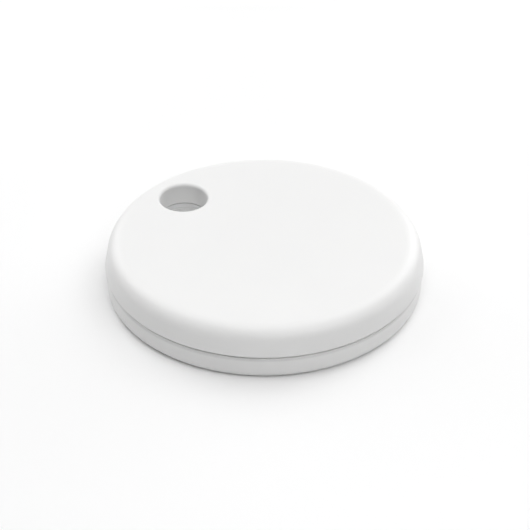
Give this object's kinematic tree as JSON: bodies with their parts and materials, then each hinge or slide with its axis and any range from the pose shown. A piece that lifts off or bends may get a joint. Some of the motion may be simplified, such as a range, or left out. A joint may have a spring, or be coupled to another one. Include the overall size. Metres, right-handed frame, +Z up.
{
  "type": "bluetooth tracker tag",
  "caption": "Flat round key finder tag in white plastic with a key ring hole, a cover that clicks when pressed, a replaceable coin cell and a sounder under the roof.",
  "frame": {"origin": "on the surface that the tag rests on, under the middle of its round case", "axes": "+Z up through the case, +Y from the middle towards the key ring hole"},
  "size_m": [0.0378, 0.0378, 0.0064],
  "materials": {
    "case_white": "fine satin moulded white",
    "silicone": "soft pale grey silicone",
    "board_laminate": "green solder mask over glass laminate",
    "gold_plate": "gold plated copper",
    "chip_black": "moulded epoxy",
    "tin_plate": "matt tin",
    "antenna_ceramic": "fired ceramic",
    "ferrite": "pressed ferrite",
    "capacitor_tan": "fired ceramic",
    "resistor_black": "glazed black top",
    "cradle_plastic": "moulded ivory",
    "cell_steel": "nickel plated, brushed",
    "gasket_plastic": "moulded",
    "cell_lithium": "dull soft metal",
    "separator_felt": "fibre felt",
    "cell_cathode": "pressed powder",
    "contact_gold": "gold plated spring bronze",
    "tape": "adhesive film",
    "sounder_brass": "rolled brass",
    "sounder_ceramic": "silvered ceramic",
    "switch_black": "moulded",
    "spring_steel": "stamped stainless steel",
    "plunger_plastic": "moulded ivory"
  },
  "bodies": {
    "base": {"bottom_cover": "case_white", "hole_seal": "silicone", "circuit_board": "board_laminate", "test_pads": "gold_plate", "radio_chip": "chip_black", "radio_crystal": "tin_plate", "clock_crystal": "tin_plate", "chip_antenna": "antenna_ceramic", "boost_coil": "ferrite", "sounder_driver": "chip_black", "boost_diode": "chip_black", "capacitors": "capacitor_tan", "resistors": "resistor_black", "chip_terminals": "tin_plate", "cell_cradle": "cradle_plastic", "cell_can": "cell_steel", "cell_cap": "cell_steel", "cell_gasket": "gasket_plastic", "cell_anode": "cell_lithium", "cell_separator": "separator_felt", "cell_cathode": "cell_cathode", "positive_contacts": "contact_gold", "negative_contact": "contact_gold", "plate_contact": "contact_gold", "ceramic_contact": "contact_gold", "switch_base": "switch_black", "switch_dome": "spring_steel", "switch_frame": "spring_steel"},
    "seal": {"rim_seal": "silicone"},
    "cover": {"top_cover": "case_white", "sounder_tape": "tape", "sounder_plate": "sounder_brass", "sounder_ceramic": "sounder_ceramic"},
    "plunger": {"switch_plunger": "plunger_plastic"}
  },
  "joints": [
    {"name": "cover_lift", "type": "slide", "parent": "base", "child": "seal", "axis": [0, 0, 1], "range_m": [0, 0.025]},
    {"name": "cover_press", "type": "slide", "parent": "seal", "child": "cover", "axis": [0, 0, -1], "range_m": [0, 0.00012], "stiffness_N_per_m": 5000, "deforming": ["plate_contact", "ceramic_contact"]},
    {"name": "switch_click", "type": "slide", "parent": "base", "child": "plunger", "axis": [0, 0, -1], "range_m": [0, 0.00012], "deforming": ["switch_dome"]}
  ],
  "couplings": [
    {"joint": "switch_click", "follows": "cover_press", "ratio": 1}
  ]
}
